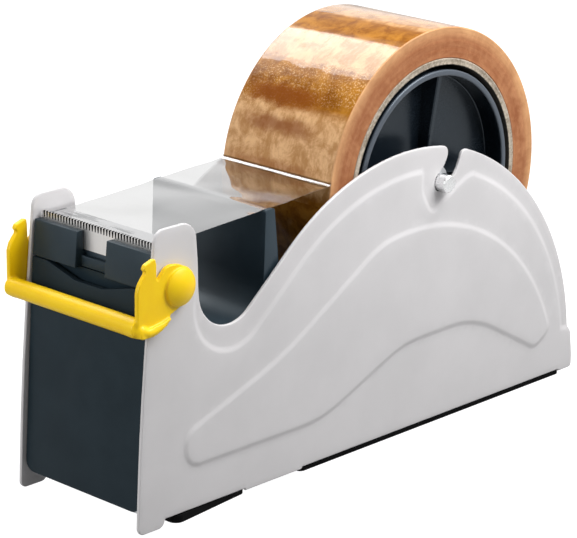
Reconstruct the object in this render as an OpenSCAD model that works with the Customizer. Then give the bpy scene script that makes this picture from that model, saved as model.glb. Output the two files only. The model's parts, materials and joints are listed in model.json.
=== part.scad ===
// Bench tape dispenser: two pressed steel side plates, a moulded front, tray and hub,
// a saw-tooth blade with a swinging guard, and a roll of packing tape on a drop-in axle.
// Frame: +X to the right seen from the front, +Y to the back, +Z up, the bench at Z = 0.

/* [Tape roll] */
// Width of the tape
tape_w = 48; // [40:1:54]
// Outer diameter of the roll
roll_d = 101; // [92:1:112]
// Bore of the cardboard core
core_bore = 76.2; // [75.4:0.1:78]
// Wall of the cardboard core
core_wall = 2.2; // [1.4:0.1:3]
// Thickness of the film strip
film_t = 0.4; // [0.3:0.05:0.6]
// End of the film strip behind the tray's front wall
film_in = 2.2; // [1:0.2:3]
// Angle on the roll where the strip peels off, from +Y
peel_angle = 171; // [166:1:176]

/* [Side plates] */
// Length of a plate along the bench
plate_l = 209.6; // [200:0.5:225]
// Thickness of the steel sheet
sheet_t = 1.2; // [0.9:0.1:1.6]
// Depth of each pressed step
press_h = 0.5; // [0.3:0.1:0.9]
// Gap from the tape to a plate's inner face
side_gap = 2.2; // [2:0.1:4]
// Radius of the humped back edge
hump_r = 87.5; // [84:0.5:90]
// Centre of the hump ahead of the plates' rear end
hump_in = 89.8; // [87:0.1:93]
// Centre of the hump above the bench
hump_z = 10.5; // [8:0.5:13]
// Width of the pressed rim
rim_w = 7.5; // [5:0.5:9]
// Height of the front horns
horn_z = 94.7; // [93:0.1:98]
// Depth of a horn at its top, front to back
horn_l = 16.6; // [14:0.2:18]
// How far the horn's front edge leans back from the toe
horn_lean = 7.2; // [5:0.2:8]
// Radius at the bottom of the finger valley
valley_r = 13; // [8:0.5:14]
// Slope of the valley's back side in degrees
valley_slope = 40; // [36:1:44]
// Lower edge of the plates above the bench
plate_z = 2.2; // [1.6:0.1:2.6]
// Depth of the shallow notches over the pads
notch_h = 0.7; // [0.3:0.1:1]
// Length of the front toes
toe_l = 11; // [8:0.5:14]
// Toes above the bench
toe_z = 0.3; // [0.1:0.1:0.8]

/* [Axle and slot] */
// Diameter of the axle
axle_d = 6; // [5:0.2:7]
// Axle seat behind the hump's centre
axle_back = 16.5; // [15:0.5:19]
// Axle seat above the bench
axle_z = 84.3; // [82:0.5:86]
// Axle beyond the plates' faces
axle_out = 3.4; // [2:0.2:5]
// Clearance of the axle in its slot
slot_clear = 0.3; // [0.2:0.05:0.5]
// Radius of the curved slot's centre line
slot_r = 13.6; // [12:0.2:16]
// Angle of the seat below the slot's centre
slot_angle = 60; // [50:1:65]
// Running clearance of the hub and of the guard on their pins
run_clear = 0.05; // [0.03:0.01:0.1]
// Thickness of an axle clip
clip_t = 0.8; // [0.5:0.1:0.9]

/* [Hub] */
// Outer diameter of the hub's drum
hub_d = 73; // [70:0.5:75]
// Wall of the drum, the webs and the ribs
hub_wall = 2.1; // [1.6:0.1:2.6]
// Depth of the web below the drum's rim
web_depth = 7.5; // [5:0.5:10]
// Outer diameter of the hub's boss
boss_d = 13; // [11:0.5:16]
// Number of ribs in each cup
rib_count = 4; // [3:1:5]
// Turn of the first rib from +Y
rib_turn = 86; // [60:1:100]
// Number of outer ribs that grip the core
grip_count = 8; // [6:1:12]
// Clearance of the grip ribs in the core
grip_clear = 0.05; // [0.02:0.01:0.2]

/* [Front] */
// Bottom edge of the front panel above the bench
panel_z = 6.6; // [5:0.2:9]
// Lip of the front panel above the bench
lip_z = 75.6; // [72:0.2:77]
// Dip of the lip in the middle
lip_dip = 3.4; // [1:0.2:4]
// Half width of the dip at its top
dip_half = 19; // [16:0.5:21]
// Half width of the dip at its bottom
dip_flat = 6; // [4:0.5:9]
// Thickness of the front panel
panel_t = 1.8; // [1.4:0.1:2.2]
// Panel behind the plates' front edge, at its foot
panel_recess = 1.8; // [1.5:0.1:3]
// Panel behind the plates' front edge, at its lip
lip_recess = 0.7; // [0.4:0.1:1.2]
// Clearance of the mouldings between the plates
fit_clear = 0.4; // [0.2:0.1:0.8]
// Top of the blade holder's tabs
tab_z = 87.3; // [86:0.1:88]
// Tabs behind the plates' front edge
tab_recess = 0.75; // [0.4:0.05:1.2]
// Gap from the lip to the tabs
tab_gap = 0.4; // [0.2:0.1:1]
// Half width of the notch between the tabs
tab_notch = 6.5; // [4:0.1:9]
// Thickness of the blade holder's back strip
holder_t = 1.7; // [1.4:0.1:2]
// Lower end of the blade holder above the bench
holder_z = 63.3; // [60:0.1:68]

/* [Blade] */
// Thickness of the blade
blade_t = 0.8; // [0.5:0.1:1]
// Lower edge of the blade above the bench
blade_z = 81.3; // [80:0.1:82.5]
// Points of the teeth above the bench
tooth_z = 89.6; // [89:0.1:90.5]
// Height of the teeth
tooth_h = 2; // [1.4:0.1:2.4]
// Number of teeth
tooth_count = 40; // [30:1:44]
// Width of a tooth at its root
tooth_root_w = 0.9; // [0.7:0.05:1.1]
// Width of a tooth at its point
tooth_tip_w = 0.4; // [0.2:0.05:0.6]
// Clearance of the blade behind the tabs
blade_clear = 0.05; // [0.03:0.01:0.15]

/* [Tray] */
// Front wall of the tray behind the plates' front edge
tray_in = 10.7; // [10:0.1:11.3]
// Tape platform above the bench
platform_z = 88.4; // [87.6:0.1:88.8]
// Depth of the platform
platform_l = 9.7; // [8:0.1:11]
// Wall of the tray
tray_wall = 2; // [1.6:0.1:2.4]
// Lowest point of the finger trough
trough_z = 57; // [55:0.5:60]
// Radius of the trough's corners
trough_r = 13; // [9:0.5:15]
// Mouth of the trough, from the platform to the rear fin
trough_l = 35.8; // [32:0.2:37.4]
// Top of the rear fin
fin_z = 90.6; // [89.6:0.1:91.2]
// Thickness of the fin at its top
fin_t = 3.8; // [3:0.1:5]
// Spread of the fin's rear face below
fin_spread = 3.8; // [2:0.2:5]

/* [Guard] */
// Pivot behind the plates' front edge
pivot_in = 15.4; // [14.4:0.2:16.4]
// Pivot above the bench
pivot_z = 76.4; // [75.6:0.2:77.6]
// Diameter of the pivot pins
pivot_d = 6; // [5:0.2:7]
// Thickness of the cheeks
cheek_t = 1.6; // [1.4:0.1:2.2]
// Gap from a cheek to its plate
cheek_gap = 0.4; // [0.3:0.1:0.8]
// Diameter of the front bar
bar_d = 6; // [5:0.2:6.4]
// Front bar ahead of the pivot
bar_reach = 15.6; // [15:0.2:17]
// Front bar below the pivot
bar_drop = 9.7; // [9:0.1:10.4]
// Front bar proud of the cheeks' front edges
bar_proud = 1.7; // [1:0.1:2.4]
// Diameter of the domed pivot caps
dome_d = 11.7; // [11:0.1:12.6]
// Height of the domed pivot caps
dome_h = 2.6; // [2:0.2:3.6]

/* [Base] */
// Thickness of the base plate
base_t = 1.5; // [1:0.1:2]
// Thickness of the rubber pads
pad_t = 2.7; // [2.4:0.1:2.8]
// Height of the base plate's side flanges
flange_h = 11; // [8:0.5:13]
// Front edge of the front pad behind the plates' front edge
front_pad_in = 15.1; // [13:0.1:19]
// Length of the front pad
front_pad_l = 33; // [28:0.5:38]
// Splay of the front pad's sides towards its front
pad_splay = 3.4; // [0:0.2:4]
// Rear pad ahead of the plates' rear end
rear_pad_in = 3.8; // [2:0.1:10]
// Length of the rear pad
rear_pad_l = 133; // [120:0.5:134]
// Diameter of the assembly screws
screw_d = 3; // [2.5:0.1:3.5]

/* [Hidden] */
$fn = 64;
eps = 0.01;

// Places shared by several pieces
half_tape = tape_w / 2;
inner_x = half_tape + side_gap;
outer_x = inner_x + sheet_t;
front_y = -plate_l / 2;
rear_y = plate_l / 2;
base_top = pad_t + base_t;
part_half = inner_x - fit_clear;
tray_half = inner_x - 3 * fit_clear;
hump_y = rear_y - hump_in;
axle_y = hump_y + axle_back;
tray_y = front_y + tray_in;
pivot_y = front_y + pivot_in;
front_pad_y = front_y + front_pad_in;
rear_pad_y = rear_y - rear_pad_in - rear_pad_l;
platform_y = tray_y + platform_l;
fin_y = platform_y + trough_l;
fin_back_y = fin_y + fin_t;
tray_back_y = fin_back_y + fin_spread;
tab_back_y = tray_y - blade_t - 2 * blade_clear;
tab_low_z = lip_z + tab_gap;
holder_y = tray_y - holder_t;
axle_r = axle_d / 2;
roll_r = roll_d / 2;
core_r = core_bore / 2;
slot_half = axle_r + slot_clear;
slot_y = axle_y - slot_r * cos(slot_angle);
slot_z = axle_z + slot_r * sin(slot_angle);
cheek_x = outer_x + cheek_gap;
guard_x = cheek_x + cheek_t;

// Outline tools: points are [y, z] or, at a corner to be rounded, [y, z, radius]
function unit(v) = v / norm(v);
function flat(p) = [p[0], p[1]];
function turn(a) = ((a % 360) + 540) % 360 - 180;
function arc(c, r, from, to, steps) =
    [for (i = [0:steps]) let (a = from + (to - from) * i / steps) c + r * [cos(a), sin(a)]];
function corner(p, q, s, r) =
    let (u = unit(p - q), v = unit(s - q), half = acos(u * v) / 2, c = q + unit(u + v) * r / sin(half),
        a = q + u * r / tan(half) - c, b = q + v * r / tan(half) - c, from = atan2(a[1], a[0]),
        sweep = turn(atan2(b[1], b[0]) - from))
    arc(c, r, from, from + sweep, max(3, ceil(abs(sweep) / 9)));
function rounded(pts) = let (n = len(pts)) [for (i = [0:n - 1]) each (pts[i][2] == undef || pts[i][2] == 0)
    ? [flat(pts[i])] : corner(flat(pts[(i + n - 1) % n]), flat(pts[i]), flat(pts[(i + 1) % n]), pts[i][2])];
function cross2(u, v) = u[0] * v[1] - u[1] * v[0];
function meet(p, u, q, v) = p + cross2(q - p, v) / cross2(u, v) * u;

// A flat shape drawn in Y and Z, as a sheet from x to x + t
module sheet(x, t) {
    translate([x, 0, 0]) rotate([90, 0, 90]) linear_extrude(t) children();
}

module rod(x0, x1, r) {
    translate([x0, 0, 0]) rotate([0, 90, 0]) cylinder(r = r, h = x1 - x0);
}

module at(y, z) {
    translate([0, y, z]) children();
}

module mirrored_x() {
    children();
    mirror([1, 0, 0]) children();
}

// Side plates
hump_c = [hump_y, hump_z];
hump_end = 18;
// Up to the slot the hump follows a circle set to the rear by hump_set and smaller by hump_flat
hump_set = 2;
hump_flat = 0.4;
front_hump_c = hump_c + [hump_set, 0];
front_hump_r = hump_r - hump_flat;
pass_y = (hump_r * hump_r - front_hump_r * front_hump_r + hump_set * hump_set) / (2 * hump_set);
valley_dir = [cos(valley_slope), sin(valley_slope)];
valley_wall_lean = 2.4;
valley_wall_z = 66;
horn_front_y = front_y + horn_lean;
horn_back_y = horn_front_y + horn_l;
front_mid = [front_y + 1.4, 34.5, 800];
function edge_y(z) = front_mid[0]
    + (horn_front_y - front_mid[0]) * (z - front_mid[1]) / (horn_z - front_mid[1]);
horn_front_r = 4;
horn_back_r = 6;
toe_r = 2.4;
rear_step_z = 16.6;
rear_step_r = 1.2;
rear_flare = 1.2;
rear_r = 1.4;
notch_rear_y = rear_y - 7.4;

// Where a hump round c ends, as an angle
function hump_foot(c, hump) = asin((hump_end - c[1]) / hump);

// The top edge from the horn's back wall, through the valley and over a hump round c.
// The wall's foot lies further back than its top by lean
function top_edge(c, hump, top_y, lean, r, end) = let (
        wall = [top_y, horn_z],
        wall_foot = [top_y + lean, valley_wall_z],
        touch = c + hump * [-sin(valley_slope), cos(valley_slope)],
        low = meet(wall, wall_foot - wall, touch, valley_dir))
    concat([[low[0], low[1], r]], arc(c, hump, 90 + valley_slope, end, 24));

function front_edge() = [[front_y, toe_z, toe_r], front_mid];

function lower_edge() = let (high = plate_z + notch_h, pad_rear = front_pad_y + front_pad_l - 2.5)
    [[rear_y, plate_z, rear_r], [notch_rear_y, plate_z],
    [notch_rear_y, high], [rear_pad_y - 1.4, high], [rear_pad_y - 1.4, plate_z], [pad_rear, plate_z],
    [pad_rear, high],
    [front_y + toe_l, high], [front_y + toe_l, toe_z, toe_r]];

function plate_outline() = rounded(concat(front_edge(),
    [[horn_front_y, horn_z, horn_front_r], [horn_back_y, horn_z, horn_back_r]],
    top_edge(front_hump_c, front_hump_r, horn_back_y, valley_wall_lean, valley_r,
        acos((pass_y - hump_set) / front_hump_r) + 2),
    arc(hump_c, hump_r, acos(pass_y / hump_r), hump_foot(hump_c, hump_r), 20),
    [[rear_y - rear_flare, rear_step_z - 1, 2], [rear_y, 7, 4]], lower_edge()));

// The raised field leaves a rim along the top edge that fades out up the horn and narrows to the rear.
// It runs out to the other edges
rim_taper = 2.2;
field_wall_out = 4;
field_wall_lean = -4;
function field_outline(e) = let (wall_y = horn_back_y + field_wall_out + rim_w - e,
        c = hump_c + rim_taper * [1, -1], r = hump_r - e + 0.7 * rim_taper)
    rounded(concat(front_edge(), [[horn_front_y, horn_z, horn_front_r], [wall_y, horn_z]],
        top_edge(c, r, wall_y, field_wall_lean, valley_r + e - 4.5, hump_foot(c, r)),
        [[rear_y, rear_step_z, rear_step_r]], lower_edge()));

// The S-shaped swell on the field, set in by e. Its back follows a circle round swell_c
swell_c = hump_c + [4, -15.5];
swell_r = 76;
swell_front_y = front_y + 19.6;
swell_low_z = 16.8;
swell_nose_z = 28;
swell_nose_r = 6;
swell_tail_r = 5;
function swell_outline(e) = rounded(concat(
    [[swell_front_y + e, swell_low_z + e, swell_nose_r - e], [hump_y - 40, swell_low_z + e, 45],
    [hump_y - 1, swell_low_z + 16 + e, 40], [hump_y + 34, swell_low_z + 16.7 + e, 45],
    [hump_y + 68 - e / 2, swell_low_z - 2.3 + e, swell_tail_r - e],
    [hump_y + 76.6 - e, swell_low_z + 2.8, swell_tail_r - 1 - e]],
    arc(swell_c, swell_r - e, 22, 95, 12),
    [[swell_c[0] - 16.7, swell_c[1] + 74.8 - e, 30], [hump_y - 58, swell_low_z + 25.9 - e, 120],
    [swell_front_y + e, swell_nose_z - e / 2, swell_nose_r - e]]));

// The funnel-shaped recess round the slot, open to the rim above and set out by e
island_l = 9.6;
island_r = 18;
island_depth = 10;
function island_outline(e) = let (y = axle_y, z = axle_z, top = hump_z + hump_r)
    rounded([[y - island_l - e, top], [y - island_l - e, z - island_depth / 5, 8],
    [y - island_l / 2, z - island_depth - e, 3 + e], [y + 8, z - island_depth / 4 - e, 20],
    [y + island_r + e, z + 1.5 - e], [y + island_r + e, top]]);

module slot_cut() {
    above = 40;
    intersection() {
        difference() {
            translate([slot_y, slot_z]) circle(r = slot_r + slot_half);
            translate([slot_y, slot_z]) circle(r = slot_r - slot_half);
        }
        polygon([[slot_y, slot_z], [slot_y, slot_z] + above * [cos(slot_angle), -sin(slot_angle)],
            [slot_y + above, slot_z]]);
    }
    translate([axle_y, axle_z]) circle(r = slot_half);
    translate([slot_y + slot_r - slot_half, slot_z - eps]) square([2 * slot_half, above]);
}

// The pressed sheet, with its rim face furthest in
module side_plate() {
    lap = sheet_t;
    difference() {
        union() {
            sheet(inner_x - press_h, sheet_t) difference() {
                polygon(plate_outline());
                difference() {
                    polygon(field_outline(rim_w + lap));
                    polygon(island_outline(lap));
                }
            }
            sheet(inner_x, sheet_t) difference() {
                intersection() {
                    polygon(field_outline(rim_w));
                    polygon(plate_outline());
                }
                polygon(island_outline(0));
                polygon(swell_outline(lap));
            }
            sheet(inner_x + press_h, sheet_t) polygon(swell_outline(0));
        }
        sheet(inner_x - 5, 15) slot_cut();
        at(pivot_y, pivot_z) rod(inner_x - 5, inner_x + 15, pivot_d / 2);
    }
}

module right_side_plate() {
    color("gainsboro") side_plate();
}

module left_side_plate() {
    color("gainsboro") mirror([1, 0, 0]) side_plate();
}

// Base plate: a pan with a turned-up flange on each side, at the front and at the back
base_front_y = tray_y - 2.4;
base_rear_y = rear_y - 3;
flange_front_y = base_front_y + base_t + 1;
flange_rear_y = rear_y - 2 * rim_w;
front_flange_h = 16;
rear_lip_h = 5;
tray_foot_l = 12;
tray_foot_h = 5;
tray_screw_x = 15;
tray_foot_ys = [tray_y + tray_foot_l / 2, tray_back_y - tray_foot_l / 2];
panel_screw_z = 13;
panel_screw_x = 16;
screw_r = screw_d / 2;
head_r = screw_d;
head_h = head_r - screw_r;
screw_bite = 0.02;
screw_short = 0.5;

module base_plate() {
    l = base_rear_y - base_front_y;
    color("darkgray") difference() {
        union() {
            translate([-inner_x, base_front_y, pad_t]) cube([2 * inner_x, l, base_t]);
            mirrored_x() translate([inner_x - base_t, flange_front_y, pad_t])
                cube([base_t, flange_rear_y - flange_front_y, flange_h]);
            translate([-tray_half, base_front_y, pad_t]) cube([2 * tray_half, base_t, front_flange_h]);
            translate([-inner_x, base_rear_y - base_t, pad_t]) cube([2 * inner_x, base_t, rear_lip_h]);
        }
        for (x = [-tray_screw_x, tray_screw_x], y = tray_foot_ys) translate([x, y, pad_t]) screw_hole();
        for (x = [-panel_screw_x, panel_screw_x]) translate([x, base_front_y + base_t, panel_screw_z])
            rotate([90, 0, 0]) screw_hole();
    }
}

// Countersunk screws along +Z with their heads flush in the base plate, and the holes that take them
module screw_hole() {
    translate([0, 0, -1]) cylinder(r = screw_r + screw_bite, h = base_t + 2);
    translate([0, 0, -eps]) cylinder(r1 = head_r + screw_bite, r2 = screw_r + screw_bite, h = head_h);
}

module countersunk_screw(l) {
    cylinder(r1 = head_r, r2 = screw_r, h = head_h);
    translate([0, 0, eps]) cylinder(r = screw_r, h = l - eps);
}

// Front panel, leaning back between the plates' front edges
panel_corner_r = 3.5;
lip_corner_r = 0.5;
dip_r = 8;
panel_lean = (edge_y(lip_z) + lip_recess - front_y - panel_recess) / (lip_z - panel_z);
panel_boss_r = 4;
function panel_y(z) = front_y + panel_recess + panel_lean * (z - panel_z);

// The panel seen from the front, with the dip in its lip
function panel_outline() = rounded([[-part_half, panel_z, panel_corner_r],
    [part_half, panel_z, panel_corner_r],
    [part_half, lip_z, lip_corner_r], [dip_half, lip_z, dip_r], [dip_flat, lip_z - lip_dip, dip_r],
    [-dip_flat, lip_z - lip_dip, dip_r], [-dip_half, lip_z, dip_r], [-part_half, lip_z, lip_corner_r]]);

module front_panel() {
    reach = 40;
    boss_y = panel_y(panel_screw_z) + panel_t / 2;
    color("darkslategray") difference() {
        union() {
            intersection() {
                sheet(-part_half, 2 * part_half)
                    polygon([[panel_y(panel_z), panel_z], [panel_y(lip_z), lip_z],
                        [panel_y(lip_z) + panel_t, lip_z], [panel_y(panel_z) + panel_t, panel_z]]);
                translate([0, front_y + reach / 2, 0]) rotate([90, 0, 0]) linear_extrude(reach)
                    polygon(panel_outline());
            }
            for (x = [-panel_screw_x, panel_screw_x]) translate([x, boss_y, panel_screw_z])
                rotate([-90, 0, 0]) cylinder(r = panel_boss_r, h = base_front_y - eps - boss_y);
        }
        for (x = [-panel_screw_x, panel_screw_x]) translate([x, boss_y + panel_t / 2, panel_screw_z])
            rotate([-90, 0, 0]) cylinder(r = screw_r + screw_bite, h = reach);
    }
}

// Tape tray: platform, finger trough and rear fin in one moulded channel on two legs
fin_lean = 1;
blade_step = 1.2;
fin_edge_r = 0.8;
platform_edge_r = 1.5;

function tray_top() = rounded([[tray_y, base_top], [tray_y, platform_z - blade_step],
    [tray_y + film_in, platform_z - blade_step], [tray_y + film_in, platform_z, 0.3],
    [platform_y, platform_z, platform_edge_r], [platform_y + 1, trough_z, trough_r],
    [fin_y - fin_lean, trough_z, trough_r], [fin_y, fin_z, fin_edge_r], [fin_back_y, fin_z, fin_edge_r],
    [tray_back_y, trough_z], [tray_back_y, base_top]]);

function tray_hollow(w) = rounded([[tray_y + w, base_top - 1], [tray_y + w, platform_z - w],
    [platform_y - w, platform_z - w], [platform_y + 1 - w, trough_z - w, trough_r],
    [tray_back_y - w, trough_z - w], [tray_back_y - w, base_top - 1]]);

module tape_tray() {
    color("darkslategray") difference() {
        union() {
            sheet(-tray_half, 2 * tray_half) difference() {
                polygon(tray_top());
                polygon(tray_hollow(tray_wall));
            }
            for (y = tray_foot_ys) translate([-tray_half, y - tray_foot_l / 2, base_top])
                cube([2 * tray_half, tray_foot_l, tray_foot_h]);
        }
        mirrored_x() translate([inner_x - base_t - fit_clear, tray_y - 1, base_top - 1])
            cube([base_t + fit_clear, tray_back_y - tray_y + 2, pad_t + flange_h + fit_clear - base_top + 1]);
        for (x = [-tray_screw_x, tray_screw_x], y = tray_foot_ys) translate([x, y, base_top - 1])
            cylinder(r = screw_r + screw_bite, h = tray_foot_h + 2);
    }
}

// Blade holder: a back strip on the tray and two tabs in front of the blade, with a notch between them.
// The tabs lean back like the plates' front edges and end just above the lip
notch_floor = 1.8;

module blade_holder() {
    low_y = edge_y(tab_low_z) + tab_recess;
    high_y = edge_y(tab_z) + tab_recess;
    color("darkslategray") difference() {
        union() {
            sheet(-part_half, 2 * part_half)
                polygon([[low_y, tab_low_z], [high_y, tab_z], [tab_back_y, tab_z], [tab_back_y, tab_low_z]]);
            translate([-tray_half, holder_y, holder_z])
                cube([2 * tray_half, holder_t, blade_z - holder_z]);
        }
        translate([-tab_notch, low_y - 1, tab_low_z - 1])
            cube([2 * tab_notch, holder_y - low_y + 1, tab_z - tab_low_z + 2]);
        translate([-tab_notch, holder_y - 1, blade_z - notch_floor])
            cube([2 * tab_notch, holder_t + 2, tab_z - blade_z + notch_floor + 1]);
    }
}

// Blade: a flat strip with a row of blunt teeth along its top
module cutter_blade() {
    half = part_half - fit_clear / 2;
    pitch = 2 * half / tooth_count;
    root_z = tooth_z - tooth_h;
    back_y = tab_back_y + blade_clear + blade_t;
    tooth = [[-tooth_root_w, root_z], [-tooth_tip_w, tooth_z], [tooth_tip_w, tooth_z], [tooth_root_w, root_z]];
    teeth = [for (i = [0:tooth_count - 1], p = tooth) [-half + (i + 0.5) * pitch + p[0] / 2, p[1]]];
    color("silver") translate([0, back_y, 0]) rotate([90, 0, 0]) linear_extrude(blade_t)
        polygon(concat([[-half, blade_z], [-half, root_z]], teeth, [[half, root_z], [half, blade_z]]));
}

// Guard: a cheek outside each plate, a front bar between them and a domed cap over each pivot
pin_r = pivot_d / 2;
bar_y = pivot_y - bar_reach;
bar_z = pivot_z - bar_drop;
bar_r = bar_d / 2;
arm_r = dome_d / 2 + 0.55;
bead_t = 1;
cheek_front_y = bar_y - bar_r + bar_proud;
cheek_low_z = bar_z - bar_r - 0.2;
guard_pivot_at = [pivot_y, pivot_z];

// A corner given from the pivot, with its radius
function from_pivot(y, z, r) = [pivot_y + y, pivot_z + z, r];

// The cheek seen from its side: front edge, hooked wing, arm over the pivot and lower edge
function cheek_outline() = rounded([[cheek_front_y, cheek_low_z, bar_r],
    [cheek_front_y, pivot_z + 3.2, 7], [cheek_front_y + 3.5, pivot_z + 7.3, 0.6],
    [cheek_front_y + 2.3, pivot_z + 8.3, 0.5], [cheek_front_y + 3.1, pivot_z + 9.6, 0.6],
    from_pivot(-10.6, 10.7, 0.8), from_pivot(-9.5, 10.6, 0.5), from_pivot(-9.1, 3.4, 0.3),
    from_pivot(-4.7, 7.7, 4), from_pivot(0.6, 6.9, 5), guard_pivot_at + (arm_r - 0.2) * [cos(45), sin(45)],
    guard_pivot_at, [pivot_y + 1, pivot_z - arm_r + 0.3], from_pivot(-3.7, -7.9, 0.6),
    [pivot_y - 3.9, cheek_low_z + 3.6, 0.8], [pivot_y - 9.6, cheek_low_z, 8]]);

// The bead along the cheek's lower edge, in line with the bar
function bead_outline() = rounded([[cheek_front_y + 0.3, bar_z - 0.8, 0.8],
    [pivot_y - 6.8, bar_z + 0.5, 4], from_pivot(-4.1, -8.3, 0.2), [pivot_y - 4.2, cheek_low_z + 3.9, 0.2],
    [pivot_y - 9.7, cheek_low_z + 0.25, 8], [cheek_front_y + 0.3, cheek_low_z + 0.2, 1.2]]);

module guard_side() {
    bore_end = guard_x + dome_h / 2;
    difference() {
        union() {
            sheet(cheek_x, cheek_t) {
                polygon(cheek_outline());
                translate([pivot_y, pivot_z]) circle(r = arm_r);
            }
            sheet(cheek_x + cheek_t / 2, cheek_t / 2 + bead_t) polygon(bead_outline());
            at(pivot_y, pivot_z) dome(guard_x);
        }
        at(pivot_y, pivot_z) rod(cheek_x - 1, bore_end, pin_r + run_clear);
    }
}

// A shallow domed cap along +X from x
module dome(x) {
    r = dome_d / 2;
    edge = dome_h / 3;
    rise = dome_h - edge;
    cap_r = (r * r + rise * rise) / (2 * rise);
    sunk = cheek_t / 2;
    cap = arc([0, edge + rise - cap_r], cap_r, asin((cap_r - rise) / cap_r), 90, 8);
    translate([x, 0, 0]) rotate([0, 90, 0]) rotate_extrude()
        polygon(concat([[0, -sunk], [r, -sunk]], [for (p = cap) [abs(p[0]), p[1]]]));
}

module safety_guard() {
    color("gold") {
        mirrored_x() guard_side();
        at(bar_y, bar_z) rod(-cheek_x - cheek_t / 2, cheek_x + cheek_t / 2, bar_r);
    }
}

module guard_pivot() {
    head_t = 0.8;
    at(pivot_y, pivot_z) {
        rod(inner_x - eps, guard_x + dome_h / 2 - 0.4, pin_r - eps);
        rod(inner_x - head_t, inner_x, pin_r + 1.6);
    }
}

module guard_pivot_right() {
    color("silver") guard_pivot();
}

module guard_pivot_left() {
    color("silver") mirror([1, 0, 0]) guard_pivot();
}

// Hub: two cupped halves that meet in the middle of the roll
hub_r = hub_d / 2;
web_x = half_tape - web_depth;
rib_fall = 3;
rib_drop = 0.8;
post_r = 3.6;
post_ring = 20;
post_angles = [rib_turn + 60, rib_turn + 150, rib_turn + 240];
grip_inset = 4;

module hub_turned(x, pts) {
    translate([x, 0, 0]) rotate([0, 90, 0]) rotate_extrude() polygon(pts);
}

module hub_posts() {
    for (a = post_angles) rotate([a, 0, 0]) at(post_ring, 0) children();
}

module hub_half(hole_end) {
    difference() {
        union() {
            hub_turned(0, [[hub_r - hub_wall, 0], [hub_r, 0], [hub_r, half_tape - 0.5],
                [hub_r - 0.5, half_tape], [hub_r - hub_wall, half_tape]]);
            hub_turned(0, [[axle_r + run_clear, 0], [boss_d / 2, 0], [boss_d / 2, half_tape],
                [axle_r + run_clear, half_tape]]);
            hub_turned(0, [[boss_d / 2 - eps, web_x - hub_wall], [hub_r - hub_wall + eps, web_x - hub_wall],
                [hub_r - hub_wall + eps, web_x], [boss_d / 2 - eps, web_x]]);
            for (i = [0:rib_count - 1]) rotate([rib_turn + i * 360 / rib_count, 0, 0]) cup_rib();
            for (i = [0:grip_count - 1]) rotate([i * 360 / grip_count, 0, 0])
                translate([eps, hub_r - 0.3, -hub_wall / 2])
                    cube([half_tape - grip_inset, core_r - grip_clear - hub_r + 0.3, hub_wall]);
            hub_posts() rod(0, web_x - eps, post_r);
        }
        hub_posts() rod(-1, hole_end, screw_r + screw_bite);
    }
}

module cup_rib() {
    inner = boss_d / 2 - 0.5;
    outer = hub_r - hub_wall / 2;
    top = half_tape - rib_drop;
    translate([0, 0, -hub_wall / 2]) linear_extrude(hub_wall)
        polygon([[web_x - eps, inner], [web_x - eps, outer], [top, outer], [top - rib_fall, inner]]);
}

module hub_right_half() {
    color("darkslategray") at(axle_y, axle_z) hub_half(hub_screw_l - web_x + 1);
}

module hub_left_half() {
    color("darkslategray") at(axle_y, axle_z) mirror([1, 0, 0]) hub_half(half_tape);
}

hub_head_t = 1.8;
hub_screw_l = 26;

module hub_screws() {
    color("silver") at(axle_y, axle_z) hub_posts() {
        rod(-web_x - eps, -web_x + hub_screw_l, screw_r);
        rod(-web_x - hub_head_t, -web_x, head_r);
    }
}

// Axle with a groove for a clip at each end of the hub
clip_gap = 0.15;
groove_r = axle_r - 0.5;
axle_half = outer_x + axle_out;
axle_chamfer = 0.5;

module hub_axle() {
    clip_x = half_tape + clip_gap;
    half = [[axle_r, clip_x], [groove_r, clip_x], [groove_r, clip_x + clip_t], [axle_r, clip_x + clip_t],
        [axle_r, axle_half - axle_chamfer], [axle_r - axle_chamfer, axle_half], [0, axle_half]];
    other_half = [for (i = [len(half) - 1:-1:0]) [half[i][0], -half[i][1]]];
    color("silver") at(axle_y, axle_z) hub_turned(0, concat(other_half, half));
}

// Open clips that snap into the grooves
module axle_clips() {
    clip_r = axle_r + 2;
    mouth = groove_r * 1.4;
    clip_x = half_tape + clip_gap + eps;
    color("silver") at(axle_y, axle_z) mirrored_x() translate([clip_x, 0, 0]) difference() {
        rod(0, clip_t - 2 * eps, clip_r);
        rod(-1, clip_t + 1, groove_r + screw_bite);
        translate([-1, -mouth / 2, -clip_r - 1]) cube([clip_t + 2, mouth, clip_r + 1]);
    }
}

// Core, roll and the strip that runs over the fin to the platform
roll_in = core_r + core_wall;

module tube(half, r_in, r_out) {
    at(axle_y, axle_z) hub_turned(0, [[r_in, -half], [r_out, -half], [r_out, half], [r_in, half]]);
}

module cardboard_core() {
    color("tan") tube(half_tape, core_r, roll_in - screw_bite);
}

module tape_roll() {
    color("peru") tube(half_tape, roll_in, roll_r);
}

strip_gap = 0.35;

module tape_strip() {
    peel = [axle_y, axle_z] + (roll_r + strip_gap) * [cos(peel_angle), sin(peel_angle)];
    fin_top = fin_z + eps;
    platform_top = platform_z + eps;
    path = [peel, [fin_back_y - fin_edge_r, fin_top], [fin_y + fin_edge_r, fin_top],
        [platform_y - platform_edge_r, platform_top], [tray_y + film_in, platform_top]];
    up = [0, film_t];
    color([0.85, 0.8, 0.7, 0.5]) sheet(-half_tape, tape_w)
        polygon(concat(path, [for (i = [len(path) - 1:-1:0]) path[i] + up]));
}

// Rubber pads under the base plate
module front_pad() {
    rear_half = inner_x - 1.4;
    front_half = rear_half + pad_splay;
    rear_edge = front_pad_y + front_pad_l;
    color("black") linear_extrude(pad_t) polygon(rounded([[-front_half, front_pad_y, 3],
        [front_half, front_pad_y, 3], [rear_half, rear_edge, 2], [-rear_half, rear_edge, 2]]));
}

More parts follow.
